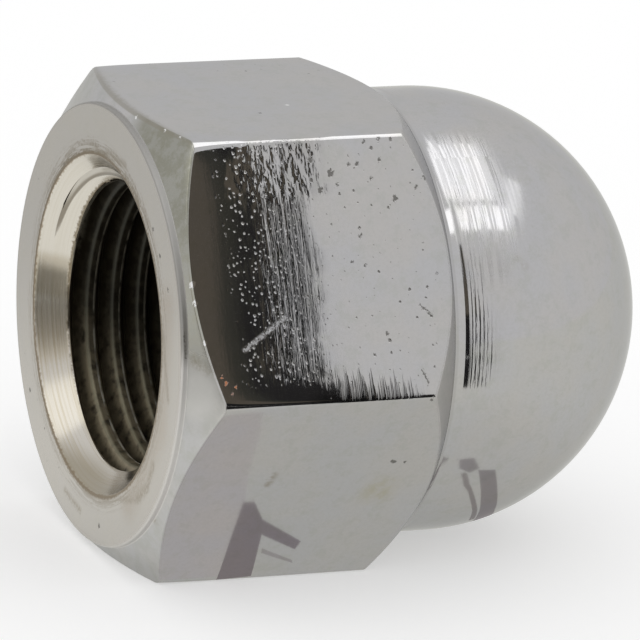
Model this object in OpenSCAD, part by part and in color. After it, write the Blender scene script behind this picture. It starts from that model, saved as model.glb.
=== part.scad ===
// Domed cap nut, plated steel, one piece.
// The thread runs along X. The origin is the middle of the bearing face, the dome is at +X,
// and the nut lies on one flat of its hexagon, with the opposite flat up (+Z).
// Lengths are in millimetres.

/* [Hexagon] */
// Distance across the flats
across_flats = 30; // [29.6:0.1:36]
// Length from the bearing face to the end of the rear chamfer
hex_length = 18.8; // [12:0.1:24]
// Radius that polishing has left on the six long edges
edge_radius = 0.4; // [0.1:0.05:1.2]
// Slope of the front chamfer, from the plane of the bearing face
front_chamfer_angle = 31; // [20:1:45]
// Slope of the rear chamfer, from the plane of the bearing face
rear_chamfer_angle = 43; // [30:1:55]

/* [Bearing face] */
// Diameter of the raised washer face
washer_face_d = 29; // [26:0.1:29.4]
// Height of the raised washer face
washer_face_h = 0.45; // [0.2:0.05:0.9]
// Radius on the rim of the washer face
rim_radius = 0.15; // [0.05:0.01:0.18]

/* [Cap] */
// Diameter of the cap and of its dome
cap_d = 29.4; // [26:0.1:29.5]
// Length of the cap's straight wall, from the end of its fillet to the dome
cap_straight = 2.6; // [0.5:0.1:8]
// How far the foot of the fillet stands out from the cap's wall
foot_step = 0.25; // [0.1:0.01:0.3]
// Radius of the fillet between the rear chamfer and the cap
foot_fillet = 1.9; // [1:0.1:4]

/* [Threaded hole] */
// Outer diameter of the thread (G 1/2)
thread_d = 20.955; // [16:0.005:21]
// Height of the thread's profile
thread_depth = 1.162; // [0.8:0.001:1.5]
// Diameter of the countersink at the bearing face
countersink_d = 22.25; // [21.1:0.05:26]
// Full angle of the countersink
countersink_angle = 90; // [60:1:120]
// Depth of the hole to the shoulder of its drilled point
hole_depth = 24; // [12:0.5:26]
// Full angle of the drilled point
drill_point_angle = 118; // [90:1:140]

/* [Hidden] */
$fn = 96;
plating = [0.55, 0.545, 0.54];

// Hexagon
apothem = across_flats / 2;
corner_r = apothem / cos(30);
// Distance from the axis to the middle of each long edge's round
edge_centre_r = (apothem - edge_radius) / cos(30);
// Anything past the corners, for cuts that must clear them
beyond_corners = corner_r + 1;

// Bearing face
washer_face_r = washer_face_d / 2;
front_rise = tan(front_chamfer_angle);

// Cap
cap_r = cap_d / 2;
foot_r = cap_r + foot_step;
rear_rise = tan(rear_chamfer_angle);
fillet_length = sqrt(pow(foot_fillet, 2) - pow(foot_fillet - foot_step, 2));
straight_start = hex_length + fillet_length;
dome_centre = straight_start + cap_straight;
total_length = dome_centre + cap_r;

// Threaded hole
bore_r = thread_d / 2 - thread_depth;
countersink_r = countersink_d / 2;
countersink_depth = (countersink_r - bore_r) / tan(countersink_angle / 2);
point_depth = bore_r / tan(drill_point_angle / 2);
// How far a cutting tool starts outside the metal
tool_start = 1;

// Points of an arc in the plane of a profile, from one angle to another
function arc(centre, r, from, to, steps) =
    [for (i = [0 : steps]) let (a = from + (to - from) * i / steps) centre + r * [cos(a), sin(a)]];

// Hexagon with flats across X and rounded corners, by its tangent points and six circles
module hexagon_outline() {
    polygon([
        for (k = [0 : 5], side = [-30, 30])
            let (a = 30 + 60 * k)
                edge_centre_r * [cos(a), sin(a)] + edge_radius * [cos(a + side), sin(a + side)]
    ]);
    for (k = [0 : 5])
        rotate(30 + 60 * k)
            translate([edge_centre_r, 0])
                circle(r = edge_radius);
}

// What turning leaves of the hexagonal bar: washer face, front chamfer and rear chamfer
module turned_envelope() {
    rotate_extrude()
        polygon(concat(
            [[0, 0]],
            arc([washer_face_r - rim_radius, rim_radius], rim_radius, -90, 0, 6),
            [
                [washer_face_r, washer_face_h],
                [beyond_corners, washer_face_h + (beyond_corners - washer_face_r) * front_rise],
                [beyond_corners, hex_length - (beyond_corners - foot_r) * rear_rise],
                [foot_r, hex_length],
                [0, hex_length]
            ]
        ));
}

module hexagon_body() {
    intersection() {
        linear_extrude(height = hex_length)
            hexagon_outline();
        turned_envelope();
    }
}

// The cap: a fillet at its foot, a short straight wall and a half sphere
module cap() {
    root = hex_length / 2;
    difference() {
        union() {
            translate([0, 0, root])
                cylinder(r = cap_r, h = dome_centre - root);
            translate([0, 0, dome_centre])
                sphere(r = cap_r);
            translate([0, 0, hex_length])
                cylinder(r = foot_r, h = fillet_length);
        }
        // The round that a tool of the fillet's radius cuts
        translate([0, 0, straight_start])
            rotate_extrude()
                translate([cap_r + foot_fillet, 0])
                    circle(r = foot_fillet);
    }
}

module threaded_hole() {
    translate([0, 0, -tool_start])
        cylinder(r = bore_r, h = hole_depth + tool_start);
    translate([0, 0, hole_depth])
        cylinder(r1 = bore_r, r2 = 0, h = point_depth);
    // The countersink starts outside the face, so its cone is wider there
    translate([0, 0, -tool_start])
        cylinder(
            r1 = countersink_r + tool_start * tan(countersink_angle / 2),
            r2 = bore_r,
            h = countersink_depth + tool_start
        );
}

module cap_nut() {
    color(plating)
        rotate([0, 90, 0])
            difference() {
                union() {
                    hexagon_body();
                    cap();
                }
                threaded_hole();
            }
}

cap_nut();
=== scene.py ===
"""Looks of a plated domed cap nut, lying on one flat of its hexagon.

The nut's axis is X, from the bearing face at x = 0 to the dome, and Z is up. Angles round the
axis are in degrees from +Z towards -Y, which is the camera's side, so the top flat is at 0, the
flat that faces the camera at 60 and the one that the nut lies on at 180. Lengths are in
millimetres up to the point where a mesh, a lamp or the camera is made in metres.
"""

import math
from types import SimpleNamespace

import bmesh
import bpy
from mathutils import Matrix, Vector


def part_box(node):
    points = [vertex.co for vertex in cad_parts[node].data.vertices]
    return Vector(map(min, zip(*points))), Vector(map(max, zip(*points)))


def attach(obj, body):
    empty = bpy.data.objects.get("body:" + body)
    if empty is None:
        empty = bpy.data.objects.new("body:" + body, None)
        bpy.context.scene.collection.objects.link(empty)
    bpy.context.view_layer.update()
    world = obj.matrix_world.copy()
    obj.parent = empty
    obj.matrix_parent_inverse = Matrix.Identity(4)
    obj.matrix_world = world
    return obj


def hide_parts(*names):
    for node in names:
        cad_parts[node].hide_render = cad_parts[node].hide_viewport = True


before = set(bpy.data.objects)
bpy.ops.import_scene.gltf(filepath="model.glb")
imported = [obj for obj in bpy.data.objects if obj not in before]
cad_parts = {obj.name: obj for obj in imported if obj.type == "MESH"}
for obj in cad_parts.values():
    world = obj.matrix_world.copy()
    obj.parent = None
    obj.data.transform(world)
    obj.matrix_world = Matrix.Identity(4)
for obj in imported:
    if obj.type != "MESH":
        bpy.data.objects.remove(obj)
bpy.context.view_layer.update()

MM = 0.001

# The flats' distance from the axis and the height of the floor, from the solid's box
nut_low, nut_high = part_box("cap_nut")
apothem = (nut_high.z - nut_low.z) / 2 / MM
floor_height = nut_low.z / MM

# The nut's other sizes, as its solid has them
hex_length = 18.8
front_chamfer = math.radians(31)
rear_chamfer = math.radians(43)
washer_face_r = 14.5
washer_face_h = 0.45
cap_r = 14.7
cap_straight = 2.6
foot_step = 0.25
foot_r = cap_r + foot_step
foot_fillet = 1.9
countersink_r = 11.125
hole_depth = 24.0
drill_point = math.radians(118)

# The G 1/2 thread
thread_d = 20.955
thread_pitch = 1.814
thread_depth = 1.162
thread_minor_r = thread_d / 2 - thread_depth
flank_angle = math.radians(27.5)
crest_width = 0.33 * thread_pitch
root_round = 0.055
first_angle = 30  # Where each ring starts, at a corner of the hexagon
thread_start = 0.39  # x of the middle of a crest at that angle
thread_runout = 2.5

# What polishing leaves of the edges
edge_r = 0.42
edge_r_front = 1.0
edge_flare = 1.5
arc_r = 0.22
rim_r = 0.22
mouth_r = 0.15
mouth_lead = 0.2
wall_foot_r = 0.03
roll_off = 0.025
roll_off_width = 1.5

# The shallow groove between the rear chamfer and the cap, as (x, radius), and the rounds in it
GROOVE = [(18.95, 14.79), (19.2, 14.70), (19.7, 14.672), (19.95, cap_r)]
GROOVE_ROUNDS = [0.4, 0.4, 0.25, 0.3]
groove_end = 20.2

# Fineness of the mesh. The flats come in the order of their angles, the camera's flat first.
ROUND_STEPS = 160
EDGE_STEPS = 8
FLAT_STEPS = [130, 26, 14, 14, 14, 26]
FLAT_ROWS = 128
FACE_STEPS = 8
WALL_STEPS = 10
DOME_STEPS = 34
PITCH_STEPS = 16
MOUTH_STEPS = 4
RIM_STEPS = 6
WALL_FOOT_STEPS = 2
ARC_STEPS = 6
GROOVE_STEPS = 3
SHARP_ANGLE = math.radians(38)

# The two zones of the surface, by the number of their material
OUTSIDE = 0
HOLE = 1

# Half of the angle that a flat takes up, and how much of a line's length the arc at its end may
half_flat = math.radians(30)
arc_share = 0.45

# How far out of the washer face's foot the front chamfer starts, and how much of a flat goes into
# the profile of the arc at its end
chamfer_gap = 0.08
arc_lead = 3.0


def polar(x, radius, angle):
    """A point from its place along the axis, its distance from it and its angle round it."""
    a = math.radians(angle)
    return Vector((x, -radius * math.sin(a), radius * math.cos(a)))


class Surface:
    """The vertices and faces of a mesh made ring by ring round the axis."""

    def __init__(self):
        self.points = []
        self.angles = []
        self.lengths = []
        self.faces = []
        self.zones = []

    def ring(self, places, length=None):
        """Adds a ring of (x, radius, angle) and returns its vertex numbers."""
        start = len(self.points)
        for x, radius, angle in places:
            self.points.append(polar(x, radius, angle))
            self.angles.append(angle)
            self.lengths.append(x if length is None else length)
        return list(range(start, start + len(places)))

    def circle(self, x, radius, length=None):
        """Adds an even ring."""
        step = 360 / ROUND_STEPS
        return self.ring([(x, radius, first_angle + step * i) for i in range(ROUND_STEPS)], length)

    def bridge(self, a, b, zone):
        """Joins two rings, with quads where they have as many vertices and triangles otherwise."""
        if len(a) == len(b):
            for i in range(len(a)):
                j = (i + 1) % len(a)
                self.face((a[i], a[j], b[j], b[i]), zone)
            return
        i = j = 0
        while i < len(a) or j < len(b):
            next_a = self.angles[a[i + 1]] if i + 1 < len(a) else self.angles[a[0]] + 360
            next_b = self.angles[b[j + 1]] if j + 1 < len(b) else self.angles[b[0]] + 360
            p, q = a[i % len(a)], b[j % len(b)]
            if j >= len(b) or (i < len(a) and next_a <= next_b):
                i += 1
                self.face((p, a[i % len(a)], q), zone)
            else:
                j += 1
                self.face((p, b[j % len(b)], q), zone)

    def fan(self, ring, point, zone):
        """Closes a ring with a point on the axis."""
        top = len(self.points)
        self.points.append(Vector((point, 0, 0)))
        self.angles.append(None)
        self.lengths.append(self.lengths[ring[0]] + 1)
        for i in range(len(ring)):
            self.face((ring[i], ring[(i + 1) % len(ring)], top), zone)

    def face(self, corners, zone):
        corners = tuple(dict.fromkeys(corners))
        if len(corners) > 2:
            self.faces.append(corners)
            self.zones.append(zone)

    def unwrap(self, mesh):
        """Lays the surface out in millimetres: length along the profile by way round the nut."""
        lay = mesh.uv_layers.new(name="lay")
        for face in mesh.polygons:
            known = [self.angles[v] for v in face.vertices if self.angles[v] is not None]
            for loop, vertex in zip(face.loop_indices, face.vertices):
                angle = self.angles[vertex]
                if angle is None:
                    angle = sum(known) / len(known)
                if angle < max(known) - 180:
                    angle += 360
                lay.data[loop].uv = (self.lengths[vertex], math.radians(angle) * cap_r)


def rounded(points, radii, steps):
    """A polyline whose inner corners are arcs, each of a set number of steps."""
    made = [Vector(points[0])]
    for i in range(1, len(points) - 1):
        corner = Vector(points[i])
        u = Vector(points[i - 1]) - corner
        v = Vector(points[i + 1]) - corner
        half = u.angle(v) / 2
        reach = min(radii[i - 1] / math.tan(half), arc_share * u.length, arc_share * v.length)
        u.normalize()
        v.normalize()
        centre = corner + (u + v).normalized() * (reach / math.cos(half))
        a = corner + u * reach - centre
        b = corner + v * reach - centre
        turn = a.angle(b)
        for k in range(steps[i - 1] + 1):
            t = k / steps[i - 1]
            made.append(centre + (a * math.sin((1 - t) * turn) + b * math.sin(t * turn)) / math.sin(turn))
    made.append(Vector(points[-1]))
    return made


def round_half_angle(rounding):
    """Half of the angle that the round of a long edge takes up round the axis."""
    centre = (apothem - rounding) / math.cos(half_flat)
    return math.degrees(math.atan2(rounding * math.sin(half_flat), centre + rounding * math.cos(half_flat)))


def hexagon_radius(offset, rounding):
    """Radius of the hexagon at an angle from its nearest corner, with its roll-off at the edges."""
    a = math.radians(abs(offset))
    if abs(offset) <= round_half_angle(rounding):
        centre = (apothem - rounding) / math.cos(half_flat)
        radius = centre * math.cos(a) + math.sqrt(rounding**2 - (centre * math.sin(a)) ** 2)
    else:
        radius = apothem / math.cos(half_flat - a)
    from_edge = apothem * (math.tan(half_flat) - math.tan(half_flat - a))
    near = max(0.0, 1 - from_edge / roll_off_width)
    return radius - roll_off * near**2


def hexagon_columns():
    """Columns round the hexagon: (angle of the edge before it, place on the round, on the flat)."""
    columns = []
    for k in range(6):
        corner = first_angle + 60 * k
        for i in range(EDGE_STEPS):
            columns.append((corner, -1 + 2 * i / EDGE_STEPS, 0.0))
        for i in range(FLAT_STEPS[k]):
            columns.append((corner, 1.0, i / FLAT_STEPS[k]))
    return columns


def column_place(column, rounding):
    """Angle and radius of a column where the long edges have a given rounding."""
    corner, on_round, on_flat = column
    half = round_half_angle(rounding)
    angle = corner + on_round * half + on_flat * (60 - 2 * half)
    offset = angle - corner if on_flat < 0.5 else angle - corner - 60
    return angle, hexagon_radius(offset, rounding)


def chamfer_foot():
    """Where the front chamfer starts, as (x, radius)."""
    return (washer_face_h + chamfer_gap * math.tan(front_chamfer), washer_face_r + chamfer_gap)


def hexagon_rows(column):
    """Points of one column, from the front chamfer over the flat to the rear chamfer."""
    front_angle, front_r = column_place(column, edge_r_front)
    rear_angle, rear_r = column_place(column, edge_r)
    front_x = washer_face_h + (front_r - washer_face_r) * math.tan(front_chamfer)
    rear_x = hex_length - (rear_r - foot_r) * math.tan(rear_chamfer)
    front = [chamfer_foot(), (front_x, front_r), (front_x + arc_lead, front_r)]
    front = rounded(front, [arc_r], [ARC_STEPS])
    rear = [(rear_x - arc_lead, rear_r), (rear_x, rear_r), (hex_length, foot_r)]
    rear = rounded(rear, [arc_r], [ARC_STEPS])
    rows = [(p.x, p.y, front_angle) for p in (front[0].lerp(front[1], f) for f in (0, 0.25, 0.5, 0.75))]
    rows += [(p.x, p.y, front_angle) for p in front[1:-1]]
    start, end = front[-2].x, rear[1].x
    for i in range(1, FLAT_ROWS):
        x = start + (end - start) * i / FLAT_ROWS
        rounding = edge_r + (edge_r_front - edge_r) * math.exp(-(x - start) / edge_flare)
        angle, radius = column_place(column, rounding)
        rows.append((x, radius, angle))
    rows += [(p.x, p.y, rear_angle) for p in rear[1:-1]]
    rows += [(p.x, p.y, rear_angle) for p in (rear[-2].lerp(rear[-1], f) for f in (0.33, 0.67, 1))]
    return rows


def thread_wall(x, angle):
    """Radius of the tapped hole's wall, with the countersink that meets it."""
    turns = (x - thread_start - thread_pitch * (angle - first_angle) / 360) / thread_pitch
    from_crest = abs(turns - round(turns)) * thread_pitch
    from_root = thread_pitch / 2 - from_crest
    flank_reach = math.hypot((thread_pitch - crest_width) / 2, root_round)
    cut = max((flank_reach - math.hypot(from_root, root_round)) / math.tan(flank_angle), 0.0)
    fade = min(1.0, (hole_depth - x) / thread_runout)
    return max(thread_minor_r + cut * fade, countersink_r - x)


def add_hole(surface, mouth):
    """The countersink and thread: rows follow the thread, and their ends gather into two rings."""
    step = 360 / ROUND_STEPS
    end = surface.circle(hole_depth, thread_minor_r)
    mouth_x = surface.points[mouth[0]].x
    rows = (int(hole_depth / thread_pitch) + 3) * PITCH_STEPS
    columns = []
    for i in range(ROUND_STEPS):
        column = []
        for j in range(rows):
            x = thread_start + thread_pitch * (i / ROUND_STEPS - 2 + j / PITCH_STEPS)
            if x <= mouth_x + 0.01:
                column.append(mouth[i])
            elif x >= hole_depth - 0.01:
                column.append(end[i])
            else:
                angle = first_angle + step * i
                column += surface.ring([(x, thread_wall(x, angle), angle)])
        columns.append(column)
    for i in range(ROUND_STEPS):
        a, b = columns[i], columns[(i + 1) % ROUND_STEPS]
        shift = PITCH_STEPS if i == ROUND_STEPS - 1 else 0
        for j in range(rows - 1):
            corners = (a[j], a[j + 1], b[min(j + 1 + shift, len(b) - 1)], b[min(j + shift, len(b) - 1)])
            surface.face(corners, HOLE)
    depth = thread_minor_r / math.tan(drill_point / 2)
    for f in (0.35, 0.7):
        ring = surface.circle(hole_depth + f * depth, thread_minor_r * (1 - f))
        surface.bridge(end, ring, HOLE)
        end = ring
    surface.fan(end, hole_depth + depth, HOLE)


def front_rings(surface):
    """Rings from just inside the mouth over the bearing face to the foot of its wall."""
    front = rounded(
        [(mouth_lead, countersink_r - mouth_lead), (0, countersink_r), (0, washer_face_r),
         (washer_face_h, washer_face_r), chamfer_foot()],
        [mouth_r, rim_r, wall_foot_r], [MOUTH_STEPS, RIM_STEPS, WALL_FOOT_STEPS])
    mouth_end = MOUTH_STEPS + 1
    rings = [surface.circle(p.x, p.y, p.y - washer_face_r) for p in front[:mouth_end + 1]]
    for i in range(1, FACE_STEPS):
        p = front[mouth_end].lerp(front[mouth_end + 1], i / FACE_STEPS)
        rings.append(surface.circle(p.x, p.y, p.y - washer_face_r))
    return rings + [surface.circle(p.x, p.y) for p in front[mouth_end + 1:-1]]


def hexagon_rings(surface):
    columns = [hexagon_rows(column) for column in hexagon_columns()]
    return [surface.ring([column[j] for column in columns]) for j in range(len(columns[0]))]


def cap_rings(surface, dome_centre):
    """Rings from the groove at the cap's foot along its wall and over the dome."""
    groove = [(hex_length, foot_r), *GROOVE, (groove_end, cap_r)]
    groove = rounded(groove, GROOVE_ROUNDS, [GROOVE_STEPS] * len(GROOVE))
    rings = [surface.circle(p.x, p.y) for p in groove[1:]]
    for k in range(1, WALL_STEPS + 1):
        rings.append(surface.circle(groove_end + (dome_centre - groove_end) * k / WALL_STEPS, cap_r))
    for k in range(1, DOME_STEPS):
        a = math.pi / 2 * k / DOME_STEPS
        x = dome_centre + cap_r * math.sin(a)
        rings.append(surface.circle(x, cap_r * math.cos(a), dome_centre + cap_r * a))
    return rings


def add_outside(surface):
    """The bearing face, the hexagon and the cap. Returns the ring just inside the mouth."""
    fillet_length = math.sqrt(foot_fillet**2 - (foot_fillet - foot_step) ** 2)
    dome_centre = hex_length + fillet_length + cap_straight
    rings = front_rings(surface) + hexagon_rings(surface) + cap_rings(surface, dome_centre)
    # The round at the mouth belongs to the hole up to its middle
    for i, (a, b) in enumerate(zip(rings, rings[1:])):
        surface.bridge(a, b, HOLE if i <= MOUTH_STEPS // 2 else OUTSIDE)
    surface.fan(rings[-1], dome_centre + cap_r, OUTSIDE)
    return rings[0]


def build_nut():
    """The nut's whole surface as one closed mesh in metres."""
    surface = Surface()
    mouth = add_outside(surface)
    add_hole(surface, mouth)
    mesh = bpy.data.meshes.new("plated_nut")
    mesh.from_pydata([p * MM for p in surface.points], [], surface.faces)
    mesh.polygons.foreach_set("material_index", surface.zones)
    surface.unwrap(mesh)
    work = bmesh.new()
    work.from_mesh(mesh)
    bmesh.ops.recalc_face_normals(work, faces=work.faces)
    work.to_mesh(mesh)
    work.free()
    mesh.shade_smooth()
    mesh.set_sharp_from_angle(angle=SHARP_ANGLE)
    nut = bpy.data.objects.new("plated_nut", mesh)
    bpy.context.collection.objects.link(nut)
    return nut


# The camera, read from the photograph
camera_azimuth = math.radians(-24.4885)
camera_elevation = math.radians(17.951)
camera_roll = math.radians(4.8133)
camera_distance = 507.4
focal_pixels = 7701.0
picture_pixels = 640
sensor_width = 36.0
aim_point = Vector((18.0, 0, 0))
aim_right = -1.917
aim_up = -0.753


def add_camera():
    """A long lens, as far from the nut as the photograph's perspective says."""
    back = Vector((
        math.sin(camera_azimuth) * math.cos(camera_elevation),
        -math.cos(camera_azimuth) * math.cos(camera_elevation),
        math.sin(camera_elevation)))
    right = Vector((math.cos(camera_azimuth), math.sin(camera_azimuth), 0))
    up = back.cross(right)
    place = aim_point + right * aim_right + up * aim_up + back * camera_distance
    across = right * math.cos(camera_roll) + up * math.sin(camera_roll)
    upward = up * math.cos(camera_roll) - right * math.sin(camera_roll)
    turn = Matrix((across, upward, back)).transposed().to_4x4()
    data = bpy.data.cameras.new("camera")
    data.sensor_width = sensor_width
    data.lens = focal_pixels / picture_pixels * sensor_width
    data.clip_start = 0.01
    data.clip_end = 20
    camera = bpy.data.objects.new("camera", data)
    camera.matrix_world = Matrix.Translation(place * MM) @ turn
    bpy.context.collection.objects.link(camera)
    bpy.context.scene.camera = camera


class Nodes:
    """Short names for the shader nodes of one material."""

    def __init__(self, name):
        self.material = bpy.data.materials.new(name)
        self.material.use_nodes = True
        self.tree = self.material.node_tree
        self.shader = self.tree.nodes["Principled BSDF"]
        self.shader.inputs["Specular Tint"].default_value = (0.8, 0.8, 0.8, 1)
        place = self.add("ShaderNodeTexCoord")
        self.place = self.vector("SCALE", place.outputs["Object"], scale=1000)
        self.x, self.y, self.z = self.add("ShaderNodeSeparateXYZ", Vector=self.place).outputs
        self.along, self.round, _ = self.add("ShaderNodeSeparateXYZ", Vector=place.outputs["UV"]).outputs

    def add(self, kind, **inputs):
        node = self.tree.nodes.new(kind)
        for name, value in inputs.items():
            self.feed(node.inputs[name.replace("_", " ")], value)
        return node

    def feed(self, socket, value):
        if isinstance(value, bpy.types.NodeSocket):
            self.tree.links.new(value, socket)
        elif isinstance(value, tuple) and len(value) == 3 and socket.type == "RGBA":
            socket.default_value = (*value, 1)
        else:
            socket.default_value = value

    def math(self, operation, *values, clamp=False):
        node = self.add("ShaderNodeMath")
        node.operation = operation
        node.use_clamp = clamp
        for socket, value in zip(node.inputs, values):
            self.feed(socket, value)
        return node.outputs[0]

    def times(self, first, *rest):
        for value in rest:
            first = self.math("MULTIPLY", first, value)
        return first

    def plus(self, first, *rest):
        for value in rest:
            first = self.math("ADD", first, value)
        return first

    def minus(self, a, b):
        return self.math("SUBTRACT", a, b)

    def vector(self, operation, *values, scale=None):
        node = self.add("ShaderNodeVectorMath")
        node.operation = operation
        for socket, value in zip(node.inputs, values):
            self.feed(socket, value)
        if scale is not None:
            self.feed(node.inputs["Scale"], scale)
        return node.outputs["Value" if operation in ("DISTANCE", "DOT_PRODUCT", "LENGTH") else "Vector"]

    def triple(self, x, y, z=0.0):
        return self.add("ShaderNodeCombineXYZ", X=x, Y=y, Z=z).outputs[0]

    def noise(self, vector, scale, detail, roughness=0.5):
        return self.add("ShaderNodeTexNoise", Vector=vector, Scale=scale, Detail=detail,
                        Roughness=roughness).outputs["Fac"]

    def cells(self, vector, scale):
        """Distance in cells from the nearest of many scattered points, and two random numbers of its own."""
        node = self.add("ShaderNodeTexVoronoi", Vector=vector, Scale=scale)
        node.voronoi_dimensions = "2D"
        parts = self.add("ShaderNodeSeparateColor", Color=node.outputs["Color"])
        return node.outputs["Distance"], parts.outputs[0], parts.outputs[1]

    def step(self, value, low, high):
        """0 below low and 1 above high, smooth between them, and the other way round if low > high."""
        node = self.add("ShaderNodeMapRange", Value=value)
        node.interpolation_type = "SMOOTHSTEP"
        ends = (low, high, 0.0, 1.0) if low < high else (high, low, 1.0, 0.0)
        for name, end in zip(("From Min", "From Max", "To Min", "To Max"), ends):
            node.inputs[name].default_value = end
        return node.outputs[0]

    def inside(self, value, start, end, soft):
        """1 between two values, with soft ends."""
        past_start = self.step(value, start - soft, start + soft)
        return self.times(past_start, self.step(value, end + soft, end - soft))

    def blend(self, amount, a, b):
        node = self.add("ShaderNodeMix")
        node.data_type = "RGBA"
        factor, first, second = (node.inputs[i] for i in (0, 6, 7))
        self.feed(factor, amount)
        self.feed(first, a)
        self.feed(second, b)
        return node.outputs[2]

    def cover(self, tone, *layers):
        """A colour with others laid over it in turn, each of them given as (amount, colour)."""
        for amount, colour in layers:
            tone = self.blend(amount, tone, colour)
        return tone

    def bump(self, height):
        """The normal that a height in micrometres gives."""
        return self.add("ShaderNodeBump", Height=height, Distance=1e-6).outputs[0]

    def nearest(self, place, marks):
        """Distance in millimetres to the nearest mark's edge: a mark is (point, radius) or (a, b, radius)."""
        found = None
        for *ends, radius in marks:
            if len(ends) == 1:
                far = self.vector("DISTANCE", place, ends[0])
            else:
                a, b = (Vector(end) for end in ends)
                way = b - a
                share = self.vector("DOT_PRODUCT", self.vector("SUBTRACT", place, tuple(a)), tuple(way))
                share = self.math("DIVIDE", share, way.length_squared, clamp=True)
                foot = self.vector("ADD", self.vector("SCALE", tuple(way), scale=share), tuple(a))
                far = self.vector("DISTANCE", place, foot)
            edge = self.minus(far, radius)
            found = edge if found is None else self.math("MINIMUM", found, edge)
        return found

    def finish(self, **sockets):
        for name, value in sockets.items():
            self.feed(self.shader.inputs[name.replace("_", " ")], value)
        return self.material


def on_flat(angle, x, down):
    """A point of a flat, from the flat's angle, its x and its way down from the flat's middle."""
    a = math.radians(angle)
    return (x, -apothem * math.sin(a) - down * math.cos(a), apothem * math.cos(a) - down * math.sin(a))


def on_face(y, z):
    """A point of the bearing face."""
    return (0.0, y, z)


# The flats that the camera sees, by their angle
UPPER_FLAT = 0
CAMERA_FLAT = 60
LOWER_FLAT = 120

# Marks on the nut: (point, radius), or (end, end, radius) where a mark is long. The larger pits of
# the flat that faces the camera are (x, way down, radius).
CAMERA_FLAT_PITS = [
    (15.53, -4.42, 0.19), (13.75, 4.33, 0.11), (17.74, -5.65, 0.15), (17.09, -5.08, 0.09),
    (14.31, -7.77, 0.10), (14.88, -8.34, 0.10), (13.88, -8.24, 0.09), (14.76, -6.96, 0.11),
    (14.04, -5.81, 0.08), (12.75, -2.07, 0.10), (11.96, -0.40, 0.08), (12.84, -0.16, 0.07),
    (11.24, -6.26, 0.22), (10.39, -5.18, 0.15), (9.97, -7.17, 0.16), (11.61, -5.46, 0.11),
    (12.56, -6.73, 0.10), (13.20, -6.82, 0.10)]
DARK_PITS = [(on_flat(CAMERA_FLAT, x, down), radius) for x, down, radius in CAMERA_FLAT_PITS]
DARK_PITS += [
    (on_flat(CAMERA_FLAT, 16.30, 2.63), on_flat(CAMERA_FLAT, 16.97, 3.32), 0.05),
    (on_flat(CAMERA_FLAT, 15.84, 6.85), on_flat(CAMERA_FLAT, 16.15, 7.66), 0.05),
    (on_flat(LOWER_FLAT, 15.32, -2.50), on_flat(LOWER_FLAT, 15.50, -2.42), 0.14),
    (on_flat(LOWER_FLAT, 16.29, -2.32), 0.11), (on_flat(LOWER_FLAT, 16.37, -8.40), 0.12),
    (on_flat(UPPER_FLAT, 8.97, 3.20), 0.11), (on_face(-8.15, 9.16), 0.13), (on_face(-9.62, 7.83), 0.12),
    (on_face(-11.32, 6.11), 0.10), (on_face(-3.00, -12.82), 0.14), (on_face(10.50, -8.04), 0.12),
    ((0.24, -13.90, 4.10), (0.34, -14.28, 2.50), 0.03)]
# Nicks, painted white as glints
GLINTING_NICKS = [
    (on_flat(CAMERA_FLAT, 0.79, 0.54), 0.20), (on_flat(CAMERA_FLAT, 0.84, 1.71), 0.18),
    (on_flat(CAMERA_FLAT, 1.17, 4.31), 0.14), (on_flat(UPPER_FLAT, 11.47, 1.76), 0.14),
    ((0.73, -2.27, 14.80), 0.10), ((1.35, -5.70, 14.95), 0.10), ((1.74, -7.30, 14.96), 0.08)]
RUBBED = [
    (on_flat(CAMERA_FLAT, 3.84, 4.90), on_flat(CAMERA_FLAT, 6.85, 2.99), 0.19)]
COPPER = [
    (on_flat(CAMERA_FLAT, 2.03, 6.62), 0.10), (on_flat(CAMERA_FLAT, 2.26, 6.95), 0.11),
    (on_flat(CAMERA_FLAT, 2.91, 7.24), 0.09), ((2.60, -16.80, 0.80), 0.07)]
STAINS = [
    (on_face(-11.08, 3.01), on_face(-12.69, -0.81), 0.12),
    (on_face(-11.10, -5.76), on_face(-10.40, -7.50), 0.22),
    (on_face(-10.40, -7.50), on_face(-8.92, -8.77), 0.30),
    (on_face(4.01, -10.36), on_face(-0.20, -11.32), 0.12),
    (on_face(-0.20, -11.32), on_face(-2.84, -11.07), 0.16),
    (on_face(-2.84, -11.07), on_face(-9.43, -8.73), 0.10),
    (on_face(5.66, 9.62), on_face(2.39, 11.24), 0.12),
    (on_face(2.39, 11.24), on_face(-2.79, 11.77), 0.20),
    (on_face(3.19, -12.52), on_face(0.39, -12.92), 0.15),
    (on_flat(LOWER_FLAT, 7.32, -1.85), on_flat(LOWER_FLAT, 7.10, -0.88), 0.16),
    ((0.74, -14.77, 2.53), (1.27, -15.72, 2.16), 0.35), ((0.51, -10.95, -9.65), 0.15),
    ((23.70, -12.59, 7.46), 0.20), ((24.22, -12.78, 7.02), 0.30)]
BROWN_HAZE = [
    (on_face(-11.3, 5.0), on_face(-11.7, -3.0), 0.2), (on_face(-11.7, -3.0), on_face(-7.5, -9.5), 0.2)]
YELLOW_STAIN = [((15.3, -12.8, -7.8), 0.3)]
# Painted light: a pale patch low on the front chamfer, on the camera's side
PAINTED_LIGHT_PATCH = [((0.9, -15.2, 0.4), 0.6)]
CONE_SMEAR = [((0.7, 3.6, 9.8), (0.7, 1.5, 10.3), 0.3), ((0.7, 1.5, 10.3), (0.7, -5.4, 8.9), 0.5)]

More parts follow.
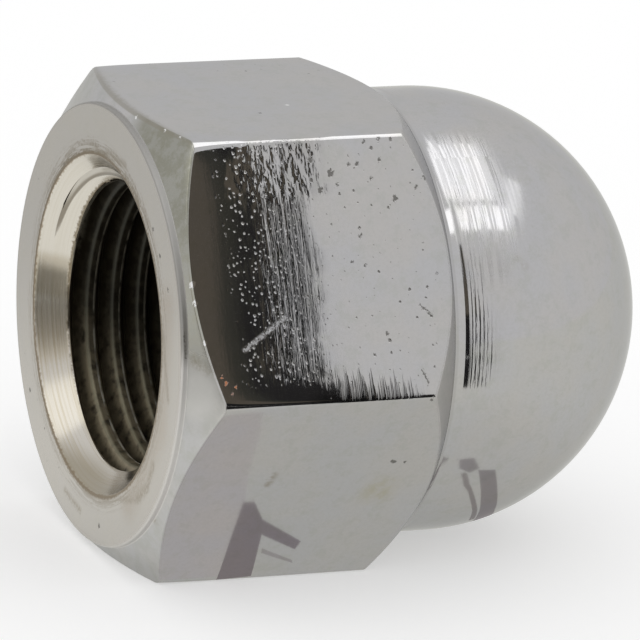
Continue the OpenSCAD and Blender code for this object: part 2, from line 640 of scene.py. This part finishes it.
# Colours of the outside
COOL_PLATING = (0.548, 0.545, 0.556)
WARM_PLATING = (0.565, 0.55, 0.538)
GREENISH_PLATING = (0.50, 0.505, 0.48)
FACE_PLATING = (0.575, 0.54, 0.50)
DULL_PLATING = (0.47, 0.465, 0.455)
DULL_CHAMFER = (0.47, 0.47, 0.46)
# Painted reflection on the upper front chamfer: greenish, darker higher up
PAINTED_REFLECTION_GREENISH = (0.44, 0.435, 0.37)
PAINTED_REFLECTION_DARK = (0.28, 0.275, 0.22)
# Painted light on the front chamfer
PAINTED_LIGHT_CHAMFER = (0.70, 0.69, 0.68)
# Painted light and painted shade for the washer face's wall: lighter low down, darker higher up
PAINTED_LIGHT_WALL = (0.78, 0.76, 0.74)
PAINTED_SHADE_WALL = (0.36, 0.35, 0.33)
HAZE_BROWN = (0.42, 0.35, 0.28)
RING_DIRT = (0.25, 0.21, 0.15)
STAIN_BROWN = (0.31, 0.27, 0.21)
STAIN_YELLOW = (0.50, 0.475, 0.38)
LIP_DIRT = (0.2, 0.15, 0.09)
WALL_GRIME = (0.16, 0.15, 0.13)
ARC_DIRT = (0.30, 0.28, 0.23)
# Painted shade in the groove at the cap's foot
PAINTED_FOOT_SHADE = (0.33, 0.32, 0.31)
# Painted dark reflection in the ground streaks
PAINTED_STREAK_REFLECTION = (0.17, 0.17, 0.17)
# Painted dark reflection along the flat's lower edge
PAINTED_EDGE_REFLECTION = (0.15, 0.15, 0.15)
RUBBED_METAL = (0.72, 0.73, 0.76)
PIT_DARK = (0.06, 0.055, 0.045)
# Painted glint on the nicks
PAINTED_NICK_GLINT = (0.95, 0.95, 0.95)
BARE_COPPER = (0.50, 0.17, 0.05)

# The turning marks at the root of the cap, by their way along the profile
root_marks_start = 20.16
root_marks_pitch = 0.28

# x over which the flats run out into the rear chamfer
FLAT_END = (18.0, 17.4)


def outside_places(n, at):
    """Masks for the surfaces of the outside, and the noises that break up their edges."""
    at.grit = n.noise(n.place, 4.5, 3.0, 0.65)
    at.rough_edge = n.minus(at.grit, 0.5)
    shift = n.vector("SCALE", (1.0, 1.0, 1.0), scale=n.times(at.rough_edge, 0.5))
    at.loose = n.vector("ADD", n.place, shift)
    at.cloud = n.noise(n.place, 0.22, 3.0, 0.55)
    at.blotch = n.noise(n.place, 0.9, 4.0, 0.7)
    at.radius = n.vector("LENGTH", n.triple(0.0, n.y, n.z))
    at.face = n.step(n.x, 0.1, 0.02)

    # How far a point lies inside the cones of the front and rear chamfer, along the axis
    front_rise = n.times(n.minus(at.radius, washer_face_r), math.tan(front_chamfer))
    rear_rise = n.times(n.minus(at.radius, foot_r), math.tan(rear_chamfer))
    at.front_cone = n.minus(n.x, n.plus(washer_face_h, front_rise))
    rear_cone = n.minus(n.minus(hex_length, n.x), rear_rise)
    past_washer = n.step(at.radius, washer_face_r, washer_face_r + 0.1)
    at.on_front = n.times(n.step(at.front_cone, 0.16, 0.05), past_washer)
    at.on_rear = n.times(n.step(rear_cone, 0.16, 0.05), n.step(at.radius, foot_r - 0.1, foot_r))


def flat_places(n, at):
    """The flat that faces the camera, and the part of it that is ground."""
    a = math.radians(CAMERA_FLAT)
    above = n.vector("DOT_PRODUCT", n.place, (0.0, -math.sin(a), math.cos(a)))
    at.down = n.vector("DOT_PRODUCT", n.place, (0.0, -math.cos(a), -math.sin(a)))
    at.flat = n.times(n.step(above, apothem - 0.15, apothem - 0.05), n.step(n.x, *FLAT_END))
    drift = n.minus(n.noise(n.place, 0.45, 2.0), 0.5)
    at.across = n.plus(n.x, n.times(drift, 2.5))
    at.top_part = n.step(at.down, -3.6, -6.2)
    far_side = n.plus(at.across, n.times(at.top_part, -1.6), n.times(n.step(at.down, 0.5, 4.0), 0.4))
    low_end = n.step(n.plus(at.down, n.times(drift, 3.0)), 8.0, 6.0)
    at.ground = n.times(at.flat, n.step(at.across, 4.2, 6.2), n.step(far_side, 10.2, 8.4), low_end)


def grinding_marks(n, at):
    """Streaks across the flats, pebbled plating over them, and spikes along the flat's lower edge."""
    at.streak = n.noise(n.triple(n.times(n.along, 2.8), n.times(n.round, 0.22)), 1.0, 4.0, 0.62)
    at.pebble = n.noise(n.triple(n.along, n.times(n.round, 0.6)), 1.6, 2.0, 0.5)
    at.blade = n.noise(n.triple(n.times(n.along, 4.2), n.times(n.round, 0.12), 3.0), 1.0, 3.0, 0.6)
    reach = n.plus(at.down, n.times(n.minus(at.blade, 0.5), 5.5), n.times(n.step(n.x, 16.5, 9.0), 0.8))
    at.spikes = n.times(at.flat, n.step(reach, 7.6, 9.4), n.step(at.across, 9.4, 10.8))
    at.spikes = n.times(at.spikes, n.step(n.x, 16.6, 13.6))


def small_pits(n, at):
    """Fine pits close together beside the ground part, and sparse ones past it and on the far side."""
    stir = n.times(at.rough_edge, 0.2)
    loose_flat = n.triple(n.plus(n.along, stir), n.plus(n.round, stir))
    far, chance, size = n.cells(loose_flat, 3.1)
    chance = n.plus(chance, n.times(n.minus(n.noise(n.place, 0.8, 2.0), 0.5), 1.4))
    limit = n.plus(n.times(n.step(chance, 0.45, 0.6), n.plus(0.10, n.times(size, 0.2))), 0.001)
    bowl = n.math("MAXIMUM", n.minus(1.0, n.math("POWER", n.math("DIVIDE", far, limit), 2.0)), 0.0)
    spotted = n.times(at.flat, n.step(at.across, 3.0, 4.6), n.step(at.across, 9.6, 8.2))
    at.fine_pit = n.times(bowl, spotted, n.step(at.down, 7.6, 6.6))

    far, chance, size = n.cells(loose_flat, 1.0)
    limit = n.times(n.step(chance, 0.6, 0.7), n.plus(0.01, n.times(size, size, 0.09)))
    behind = n.times(n.step(n.y, 3.0, 6.0), n.step(n.x, *FLAT_END), n.step(at.front_cone, 0.1, 0.3))
    behind = n.times(behind, n.step(at.cloud, 0.35, 0.55))
    worn = n.plus(n.times(at.flat, n.step(at.across, 8.4, 9.8)), behind)
    at.sparse_pit = n.times(n.step(n.minus(far, limit), 0.05, -0.03), worn)


def single_marks(n, at):
    """The marks that have places of their own."""
    at.dark = n.step(n.nearest(at.loose, DARK_PITS), 0.06, -0.04)
    # Painted glints on the nicks
    at.nick = n.step(n.nearest(at.loose, GLINTING_NICKS), 0.05, -0.05)
    at.copper = n.step(n.nearest(at.loose, COPPER), 0.06, -0.05)
    at.rubbed = n.times(n.step(n.nearest(n.place, RUBBED), 0.1, -0.15), n.step(at.grit, 0.25, 0.6))
    at.stain = n.times(n.step(n.nearest(at.loose, STAINS), 0.3, -0.2), n.step(at.grit, 0.25, 0.7))


def turning_marks(n, at):
    """The turning marks at the root of the cap, and finer ones on the cap."""
    turn = n.math("SINE", n.times(n.minus(n.along, root_marks_start), 2 * math.pi / root_marks_pitch))
    fade = n.times(n.step(n.along, 22.3, 20.0), n.step(n.along, 20.1, 20.25))
    uneven = n.noise(n.triple(n.times(n.along, 3.2), n.times(n.round, 0.35), 5.0), 1.0, 3.0, 0.65)
    at.turning = n.times(turn, fade, n.step(uneven, 0.40, 0.58), n.step(n.z, -6.5, -3.0))
    at.fine_turn = n.noise(n.triple(n.times(n.along, 5.5), n.times(n.round, 0.1), 8.0), 1.0, 3.0, 0.6)
    at.on_cap = n.times(n.step(n.along, 19.4, 19.8), n.step(n.along, 27.0, 22.0))
    at.on_cap = n.times(at.on_cap, n.step(n.z, 5.0, 7.5), n.step(n.z, 14.3, 13.2))


def dirty_places(n, at):
    """Dirt round the mouth, on the wall of the washer face and under the upper front arc; the wall, which
    takes painted shade and painted light; and the groove at the cap's foot, which takes painted shade.
    """
    rings = n.noise(n.triple(n.times(n.along, 5.0), n.times(n.round, 0.25)), 1.0, 3.0, 0.65)
    near_top = n.plus(0.5, n.times(n.step(n.z, 4.0, 10.0), 0.65))
    mouth_edge = n.plus(at.radius, n.times(at.rough_edge, 1.6))
    near_mouth = n.step(mouth_edge, countersink_r + 1.375, countersink_r + 0.075)
    at.ring = n.times(at.face, near_mouth, n.step(rings, 0.42, 0.54), near_top)
    lip_edge = n.plus(at.radius, n.times(at.rough_edge, 0.5))
    at.lip = n.times(n.step(n.x, 0.2, 0.1), n.step(lip_edge, countersink_r + 0.295, countersink_r + 0.115))
    # The washer face's wall, which takes painted shade on its upper part and painted light on its lower part
    at.wall = n.step(at.radius, washer_face_r + 0.22, washer_face_r + 0.1)
    at.wall = n.times(at.wall, n.step(at.radius, washer_face_r - 0.25, washer_face_r - 0.1))
    at.wall = n.times(at.wall, n.inside(n.x, 0.02, washer_face_h + 0.02, 0.03))
    grimy = n.inside(n.x, 0.2, washer_face_h - 0.01, 0.05)
    at.wall_grime = n.times(grimy, at.wall, n.step(at.cloud, 0.35, 0.6))
    at.wall_grime = n.times(at.wall_grime, n.inside(n.z, 2.4, 5.6, 0.8))
    arc_edge = n.plus(at.front_cone, n.times(at.rough_edge, 0.9))
    at.arc = n.times(n.step(n.z, apothem - 0.25, apothem - 0.15), n.step(arc_edge, 0.6, 0.0))
    at.arc = n.times(at.arc, n.step(n.x, 2.6, 1.2))
    # The groove at the cap's foot, which takes painted shade
    at.foot = n.inside(n.along, 18.98, 19.2, 0.06)


def outside_height(n, at):
    """Height of the surface, in micrometres."""
    turned = n.plus(n.times(at.turning, 3.7), n.times(at.fine_turn, at.on_cap, 2.6))
    streaks = n.times(at.streak, n.plus(n.times(at.ground, 9.0), 0.5), n.step(n.x, 19.0, 18.6))
    pebbles = n.times(at.pebble, at.ground, n.plus(n.times(at.top_part, 42.0), 4.0))
    grain = n.times(at.grit, n.plus(0.3, n.times(at.on_front, 2.0)))
    pits = n.plus(n.times(at.fine_pit, 13.0), n.times(n.plus(at.sparse_pit, at.dark), 14.0))
    return n.minus(n.plus(turned, streaks, pebbles, grain), n.plus(pits, n.times(at.spikes, 5.0)))


def plated_tone(n, at):
    """Colour of the plating and of the stains on it."""
    haze = n.plus(n.nearest(n.place, BROWN_HAZE), n.times(at.rough_edge, 1.5))
    haze = n.times(at.face, n.step(haze, 1.9, 0.0))
    yellow = n.times(n.step(n.nearest(n.place, YELLOW_STAIN), 1.6, 0.0),
                     n.plus(0.3, n.times(n.step(at.blotch, 0.4, 0.6), 0.5)))
    tone = n.blend(n.step(at.cloud, 0.35, 0.65), COOL_PLATING, WARM_PLATING)
    return n.cover(
        tone,
        (n.times(n.step(at.blotch, 0.48, 0.66), 0.5), GREENISH_PLATING),
        (n.times(at.face, 0.7), FACE_PLATING),
        (n.times(haze, 0.4), HAZE_BROWN),
        (n.times(at.ring, 0.9), RING_DIRT),
        (n.times(at.stain, n.step(n.x, 30.0, 12.0), 0.9), STAIN_BROWN),
        (yellow, STAIN_YELLOW),
        (n.times(n.step(at.grit, 0.42, 0.6), 0.16), DULL_PLATING))


def edge_tone(n, at, tone):
    """A tone with the front chamfer's painted reflection, its painted light patch and its dull blotches, the
    dirt at the mouth's lip, painted shade and painted light on the washer face's wall with grime on it, dirt
    under the front arc and painted shade in the groove at the cap's foot laid over it.
    """
    # Painted reflection of dark surroundings on the upper front chamfer, on the camera's side
    chamfer_reflection = n.times(at.on_front, n.step(n.z, 1.0, 5.0), n.step(n.y, -1.5, -4.0))
    green = n.blend(n.step(n.z, 6.0, 11.5), PAINTED_REFLECTION_GREENISH, PAINTED_REFLECTION_DARK)
    # Painted light: a pale patch on the front chamfer
    pale = n.times(at.on_front, n.step(n.nearest(n.place, PAINTED_LIGHT_PATCH), 1.8, 0.2))
    return n.cover(
        tone,
        (n.times(chamfer_reflection, 0.9), green),
        (n.times(at.on_front, n.step(at.blotch, 0.42, 0.62), 0.35), DULL_CHAMFER),
        (n.times(pale, 0.75), PAINTED_LIGHT_CHAMFER),
        (n.times(at.lip, 0.85), LIP_DIRT),
        # Painted shade on the wall's upper part and painted light on its lower part
        (n.times(at.wall, 0.8), n.blend(n.step(n.z, 3.5, 1.5), PAINTED_SHADE_WALL, PAINTED_LIGHT_WALL)),
        (n.times(at.wall_grime, 0.5), WALL_GRIME),
        (n.times(at.arc, 0.6), ARC_DIRT),
        # Painted shade in the groove at the cap's foot
        (n.times(at.foot, 0.25), PAINTED_FOOT_SHADE))


def worn_tone(n, at, tone):
    """A tone with painted dark reflections in the ground streaks and along the flat's lower edge, the darker
    pits, painted glints on the nicks, the rubbed scratch and the bare copper laid over it.
    """
    # Painted dark reflection in the streaks of the ground part, less in its top part
    streak_reflection = n.times(at.ground, n.step(at.across, 6.4, 8.6), n.step(at.streak, 0.36, 0.5))
    streak_reflection = n.times(streak_reflection, n.minus(1.0, n.times(at.top_part, 0.7)))
    # Painted dark reflection in a strip and in spikes along the flat's lower edge
    strip = n.times(at.flat, n.step(n.plus(at.down, at.blade), 8.1, 8.9), n.step(n.x, 16.0, 11.0))
    strip = n.times(strip, n.step(at.across, 7.0, 9.0))
    spikes = n.times(at.spikes, n.step(at.blade, 0.40, 0.52), n.step(at.down, 6.2, 7.8))
    return n.cover(
        tone,
        # Painted dark reflection in the streaks
        (n.times(streak_reflection, 0.55), PAINTED_STREAK_REFLECTION),
        # Painted dark reflection along the flat's lower edge
        (n.times(n.math("MAXIMUM", strip, spikes), 0.7), PAINTED_EDGE_REFLECTION),
        (n.times(at.rubbed, 0.7), RUBBED_METAL),
        # Darker colour in the pits
        (n.plus(n.times(at.sparse_pit, 0.6), n.times(at.dark, 0.7)), PIT_DARK),
        # Painted glints on the nicks
        (at.nick, PAINTED_NICK_GLINT),
        (at.copper, BARE_COPPER))


def outside_roughness(n, at):
    """Roughness of the plating, which is bright on the flats and dull on the chamfers."""
    front = n.times(at.on_front, n.plus(0.08, n.times(n.step(n.z, 5.0, 1.5), 0.16)))
    turned = n.times(at.on_cap, n.step(at.fine_turn, 0.42, 0.55), 0.26)
    rough = n.plus(0.09, n.times(at.flat, -0.045), n.times(at.face, 0.16), n.times(at.wall, 0.42))
    rough = n.plus(rough, n.times(at.rubbed, 0.3), n.times(at.copper, 0.4))
    return n.plus(rough, front, n.times(at.on_rear, 0.33), turned)


def plating_material():
    """Dull nickel chrome, ground across the flats, pitted, with dirt in its corners, and with painted
    reflections, painted shade, painted light and painted glints in places.
    """
    n = Nodes("plating")
    at = SimpleNamespace()
    outside_places(n, at)
    flat_places(n, at)
    grinding_marks(n, at)
    small_pits(n, at)
    single_marks(n, at)
    turning_marks(n, at)
    dirty_places(n, at)
    tone = worn_tone(n, at, edge_tone(n, at, plated_tone(n, at)))
    metal = n.minus(1.0, n.math("MAXIMUM", at.copper, n.times(at.ring, 0.3)))
    return n.finish(Base_Color=tone, Roughness=outside_roughness(n, at), Metallic=metal,
                    Normal=n.bump(outside_height(n, at)))


# Colours of the hole
CONE_METAL = (0.67, 0.635, 0.58)
CONE_MARKS = (0.58, 0.53, 0.44)
CONE_BOTTOM = (0.36, 0.32, 0.24)
CONE_BROWN = (0.42, 0.36, 0.26)
CONE_LIP = (0.24, 0.18, 0.11)
CONE_ROOT = (0.16, 0.12, 0.07)
CONE_DIRT = (0.22, 0.19, 0.14)
OIL = (0.026, 0.022, 0.015)
THIN_OIL = (0.055, 0.048, 0.033)
# Painted light on the lower part of the thread
PAINTED_LIGHT_LOW_THREAD = (0.40, 0.34, 0.23)
# Painted shade in the roots of the thread
PAINTED_ROOT_SHADE = (0.035, 0.026, 0.014)
CREST_BAND = (0.03, 0.03, 0.022)
# Lighter copy of the crest band for the lower part: painted light
PAINTED_LIGHT_CREST_BAND = (0.16, 0.15, 0.10)
# Painted glint along the crest's far edge, much brighter on the lower part
PAINTED_CREST_GLINT = (0.30, 0.28, 0.22)
PAINTED_LOW_CREST_GLINT = (0.95, 0.92, 0.8)
GROOVE_EDGE = (0.16, 0.13, 0.09)
FIRST_CREST = (0.36, 0.33, 0.26)


def cone_tone(n, radius, lines, low):
    """Colour of the bare countersink, with the marks of the tool round it."""
    marks = n.times(n.step(lines, 0.42, 0.62), n.plus(0.25, n.times(low, 0.75)))
    brown = n.times(n.inside(n.z, -1.4, 1.5, 0.4), n.step(n.y, 0.0, 3.0), n.step(lines, 0.25, 0.4))
    rough_edge = n.minus(n.noise(n.place, 4.0, 3.0, 0.65), 0.5)
    edge = n.plus(radius, n.times(rough_edge, 0.35))
    smear = n.times(n.step(n.nearest(n.place, CONE_SMEAR), 0.8, -0.3), n.step(lines, 0.35, 0.55))
    return n.cover(
        n.blend(marks, CONE_METAL, CONE_MARKS),
        (n.times(n.step(n.z, -9.2, -10.6), 0.8), CONE_BOTTOM),
        (n.times(brown, 0.5), CONE_BROWN),
        (n.times(n.step(edge, countersink_r - 0.105, countersink_r + 0.015), 0.75), CONE_LIP),
        (n.times(n.step(edge, thread_minor_r + 0.1845, thread_minor_r + 0.0445), 0.8), CONE_ROOT),
        (n.times(smear, 0.9), CONE_DIRT))


def thread_tone(n, grime):
    """Colour of the thread, with old cutting oil and dirt, a painted glint along one side of its crest,
    painted shade in its roots and painted light on its lower part.
    """
    # Place within one turn: 0 is the middle of a crest, and half a turn either way is a root
    degrees = n.times(n.round, 180 / math.pi / cap_r)
    turn = n.math("DIVIDE", n.minus(n.along, thread_start), thread_pitch)
    turn = n.minus(turn, n.math("DIVIDE", n.minus(degrees, first_angle), 360.0))
    turn = n.minus(n.math("FRACT", n.plus(turn, 0.5)), 0.5)
    turn = n.plus(turn, n.times(n.minus(grime, 0.5), 0.02))
    threaded = n.step(n.x, hole_depth - 1.0, hole_depth - 3.0)
    band = n.times(n.inside(turn, -0.21, -0.115, 0.02), threaded)
    # Painted glint along the crest's far edge
    line = n.times(n.inside(turn, 0.075, 0.16, 0.02), n.step(n.noise(n.place, 0.9, 2.0), 0.3, 0.6), threaded)
    # Painted shade in the roots of the thread
    root = n.times(n.step(n.math("ABSOLUTE", turn), 0.24, 0.40), threaded)
    # Painted light: the lower part of the thread is made lighter
    low = n.step(n.plus(n.z, n.times(n.x, 0.5)), 1.5, -7.0)
    return n.cover(
        n.blend(n.step(grime, 0.4, 0.65), OIL, THIN_OIL),
        (n.times(low, n.step(grime, 0.2, 0.6), 0.85), PAINTED_LIGHT_LOW_THREAD),
        (n.times(root, 0.55), PAINTED_ROOT_SHADE),
        (n.times(band, 0.7), n.blend(low, CREST_BAND, PAINTED_LIGHT_CREST_BAND)),
        (line, n.blend(low, PAINTED_CREST_GLINT, PAINTED_LOW_CREST_GLINT)))


def hole_material():
    """The countersink where the surface lies on its cone, and the thread everywhere else."""
    n = Nodes("hole")
    radius = n.vector("LENGTH", n.triple(0.0, n.y, n.z))
    off_cone = n.minus(n.plus(radius, n.x), countersink_r)
    on_cone = n.math("MAXIMUM", n.step(off_cone, 0.05, 0.02), n.step(n.x, 0.6, 0.5))
    in_thread = n.minus(1.0, on_cone)
    lines = n.noise(n.triple(n.times(n.x, 9.0), n.times(n.round, 0.05)), 1.0, 4.0, 0.65)
    grime = n.noise(n.place, 1.3, 3.0, 0.6)
    low = n.step(n.z, 1.0, -5.0)
    groove_edge = n.times(in_thread, n.step(off_cone, 0.16, 0.08), n.step(n.x, 1.6, 1.3))
    first_crest = n.times(n.inside(n.x, 1.85, 2.7, 0.15), n.step(n.z, 0.5, 3.5), n.step(n.y, -1.0, 1.0))
    first_crest = n.times(first_crest, n.step(grime, 0.3, 0.5))
    clean = n.math("MAXIMUM", on_cone, n.times(n.step(n.x, 1.75, 1.25), 0.85))
    tone = n.cover(
        n.blend(clean, thread_tone(n, grime), cone_tone(n, radius, lines, low)),
        (n.times(groove_edge, 0.7), GROOVE_EDGE),
        (n.times(first_crest, 0.7), FIRST_CREST))
    cone_height = n.times(n.minus(lines, 0.5), n.plus(1.5, n.times(low, 3.5)), on_cone)
    thread_height = n.times(n.minus(grime, 0.5), in_thread, 12.0)
    return n.finish(Base_Color=tone, Roughness=n.minus(0.38, n.times(clean, 0.21)),
                    Metallic=n.plus(0.55, n.times(clean, 0.45)),
                    Normal=n.bump(n.plus(cone_height, thread_height)))


def light_material(name, colour, strength):
    material = bpy.data.materials.new(name)
    material.use_nodes = True
    tree = material.node_tree
    tree.nodes.clear()
    light = tree.nodes.new("ShaderNodeEmission")
    light.inputs["Color"].default_value = (*colour, 1)
    light.inputs["Strength"].default_value = strength
    out = tree.nodes.new("ShaderNodeOutputMaterial")
    tree.links.new(light.outputs[0], out.inputs["Surface"])
    return material


def card(name, corners, colour, strength=1.0):
    """A flat studio card or lamp that only reflections see."""
    mesh = bpy.data.meshes.new(name)
    mesh.from_pydata([Vector(corner) * MM for corner in corners], [], [range(len(corners))])
    mesh.materials.append(light_material(name, colour, strength))
    obj = bpy.data.objects.new(name, mesh)
    bpy.context.collection.objects.link(obj)
    obj.visible_camera = False
    obj.visible_diffuse = False
    obj.visible_shadow = False


def facing(centre, aim, outline):
    """Corners of a card that faces a point of the nut, from its outline in the card's own plane."""
    away = (Vector(centre) - Vector(aim)).normalized()
    turn = away.to_track_quat("Z", "Y").to_matrix()
    return [Vector(centre) + turn @ Vector((u, w, 0)) for u, w in outline]


def level(height, outline):
    """Corners of a card that lies level."""
    return [(x, y, height) for x, y in outline]


def floor_material():
    """A pale floor that keeps the nut's shadow. Reflections see it lighter close in front of the nut, though
    with a painted shadow there that is darker than further out, and with painted light to the nut's left.
    """
    n = Nodes("floor")
    tree = n.tree
    tree.nodes.remove(n.shader)
    matt = n.add("ShaderNodeBsdfDiffuse", Color=(0.85, 0.85, 0.85))
    place = n.triple(n.x, n.y)
    # Painted shadow in front of the nut to the right and painted light to its left, which only reflections
    # see
    far = n.step(n.vector("DISTANCE", place, (14.0, -15.0, 0.0)), 8.0, 40.0)
    left = n.times(n.step(n.x, 2.0, -2.0), n.step(n.vector("DISTANCE", place, (-5.0, 0.0, 0.0)), 70.0, 15.0))
    glossy = n.plus(0.70, n.times(far, 0.10), n.times(left, 0.30))
    seen = n.add("ShaderNodeEmission", Color=(1.0, 1.0, 0.95), Strength=glossy)
    path = n.add("ShaderNodeLightPath")
    camera_lift = n.times(path.outputs["Is Camera Ray"], 0.3455)
    white = n.add("ShaderNodeEmission", Color=(1.0, 1.0, 1.0), Strength=camera_lift)
    lift = n.add("ShaderNodeAddShader")
    tree.links.new(matt.outputs[0], lift.inputs[0])
    tree.links.new(white.outputs[0], lift.inputs[1])
    mix = n.add("ShaderNodeMixShader", Fac=n.times(path.outputs["Is Glossy Ray"], 0.75))
    tree.links.new(lift.outputs[0], mix.inputs[1])
    tree.links.new(seen.outputs[0], mix.inputs[2])
    tree.links.new(mix.outputs[0], tree.nodes["Material Output"].inputs["Surface"])
    return n.material


def add_floor():
    """A wide floor, level with the flat that the nut lies on."""
    size = 3000
    corners = level(floor_height, [(-size, -size), (size, -size), (size, size), (-size, size)])
    mesh = bpy.data.meshes.new("floor")
    mesh.from_pydata([Vector(corner) * MM for corner in corners], [], [range(4)])
    mesh.materials.append(floor_material())
    floor = bpy.data.objects.new("floor", mesh)
    bpy.context.collection.objects.link(floor)


def add_lamps():
    """Soft lamps over the nut and one behind it to the left."""
    white = (1.0, 1.0, 1.0)
    warm_white = (1.0, 1.0, 0.97)
    ceiling = 320
    card("lamp_long", level(ceiling, [(60, -95), (196, -95), (196, 115), (60, 115)]), white, 1.8)
    card("lamp_front", level(ceiling, [(150, -205), (260, -205), (260, -112), (150, -112)]), white, 1.8)
    card("lamp_right", level(ceiling, [(240, -130), (305, -130), (305, 10), (240, 10)]), white, 1.35)
    card("lamp_left", level(ceiling, [(-200, -200), (-20, -200), (-20, 50), (-200, 50)]), white, 1.6)
    lamp = facing((-160, 34, 108), (1, 6, -7), [(-48, -31), (48, -31), (48, 31), (-48, 31)])
    card("lamp_back_left", lamp, warm_white, 1.25)


def add_flags():
    """The photographer's side, which the camera's flat shows: dark, and brown to the left."""
    stand, aim = (49, -83, 67), (10, -7, 4)
    brown = [(-45, -45), (-9.5, -45), (-9.5, -8), (-8.4, -1), (-5.4, 8.5), (-4.4, 18), (-45, 18)]
    grey = [(-9.5, -45), (-7.5, -45), (-8, -8), (-6.9, -1), (-3.7, 8.5), (-2.6, 18), (-4.4, 18), (-5.4, 8.5),
            (-8.4, -1), (-9.5, -8)]
    black = [(-7.5, -45), (-2.2, -45), (-2, -27), (0.2, -22), (-0.3, -12), (-1.5, -8), (-1.6, -5),
             (-1.3, -3), (-0.7, -0.5), (0.1, 4), (0.7, 18), (-2.6, 18), (-3.7, 8.5), (-6.9, -1), (-8, -8)]
    low = [(-45, -100), (-2.5, -100), (-2.2, -45), (-45, -45)]
    card("flag_brown", facing(stand, aim, brown), (0.118, 0.103, 0.083))
    card("flag_grey", facing(stand, aim, grey), (0.05, 0.05, 0.042))
    card("flag_black", facing(stand, aim, black), (0.026, 0.025, 0.025))
    card("flag_low", facing(stand, aim, low), (0.02, 0.02, 0.02))


def add_left_side():
    """Cards to the left of the nut, which the countersink shows, darker towards the floor."""
    near_black = (0.02, 0.02, 0.02)
    brown_black = (0.05, 0.043, 0.028)
    front = [(35.9, -48.6), (21.4, -52), (6.7, -49.6), (-31, -154), (81, -150)]
    side = [(-34, -1), (-34, -7), (-45, -11), (-80, -27), (-125, -48), (-125, -36), (-80, -16), (-45, -5)]
    just_above = floor_height + 0.1
    card("floor_front", level(just_above, front), near_black)
    card("floor_left", level(just_above, side), brown_black)
    wall_x, wall_front, wall_back = -110, -46, -16
    heights = [-15, -5, 3, 10, 17, 24, 32, 42]
    shades = [0.15, 0.19, 0.22, 0.26, 0.32, 0.42, 0.55]
    for i, (low, high, shade) in enumerate(zip(heights, heights[1:], shades)):
        strip = [(wall_x, wall_front, low), (wall_x, wall_back, low),
                 (wall_x, wall_back, high), (wall_x, wall_front, high)]
        card(f"card_left_{i}", strip, (shade, shade * 0.93, shade * 0.78))


def add_floor_marks():
    """What the lower faces show: dark shapes on the floor, and a painted shadow on the floor in front of the
    nut.
    """
    dark = (0.31, 0.28, 0.29)
    shade = [(1.2, -8.9), (6.2, -8.9), (7.3, -11), (8.8, -13.7), (9.4, -15.8), (10.6, -18.4), (11, -21),
             (1.2, -21)]
    stem = [(8.7, -13.7), (9.5, -13.7), (9.9, -12.5), (9.7, -11.5), (8.6, -8.8), (6.1, -8.6), (7.3, -11.0)]
    arm = [(9.9, -12.5), (12.4, -10.9), (11.9, -10.4), (9.7, -11.5)]
    twig = [(9.6, -10.6), (11.6, -9.7), (11.6, -9.5), (9.5, -10.3)]
    band = [(25.9, -15.1), (28.0, -14.4), (28.2, -10.2), (28.6, -5.0), (29.4, -0.5), (27.6, -0.5),
            (26.8, -5.5), (26.7, -7.0), (26.4, -9.4), (26.2, -11.3)]
    knot = [(24.9, -17.3), (26.0, -17.5), (26.0, -15.4), (25.2, -14.7), (24.6, -15.6)]
    line = [(24.6, -14.6), (25.0, -14.8), (25.05, -12.6), (25.8, -9.8), (26.4, -7.5), (26.9, -4.3),
            (26.4, -4.3), (25.9, -7.5), (25.3, -9.8), (24.6, -12.6)]
    shade_height = floor_height + 0.03
    mark_height = floor_height + 0.05
    card("floor_shade", level(shade_height, shade), (0.60, 0.58, 0.57))
    for name, outline, colour in (
            ("mark_stem", stem, dark), ("mark_arm", arm, dark), ("mark_twig", twig, (0.45, 0.43, 0.42)),
            ("mark_band", band, (0.36, 0.34, 0.34)), ("mark_knot", knot, (0.38, 0.36, 0.36)),
            ("mark_line", line, (0.36, 0.34, 0.33))):
        card(name, level(mark_height, outline), colour)


def add_world():
    """An even grey surround."""
    world = bpy.data.worlds.new("studio")
    world.use_nodes = True
    world.node_tree.nodes["Background"].inputs["Color"].default_value = (0.77, 0.77, 0.77, 1)
    bpy.context.scene.world = world
    bpy.context.scene.view_settings.view_transform = "Standard"


nut = build_nut()
nut.data.materials.append(plating_material())
nut.data.materials.append(hole_material())
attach(nut, "root")
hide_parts("cap_nut")
add_camera()
add_floor()
add_lamps()
add_flags()
add_left_side()
add_floor_marks()
add_world()
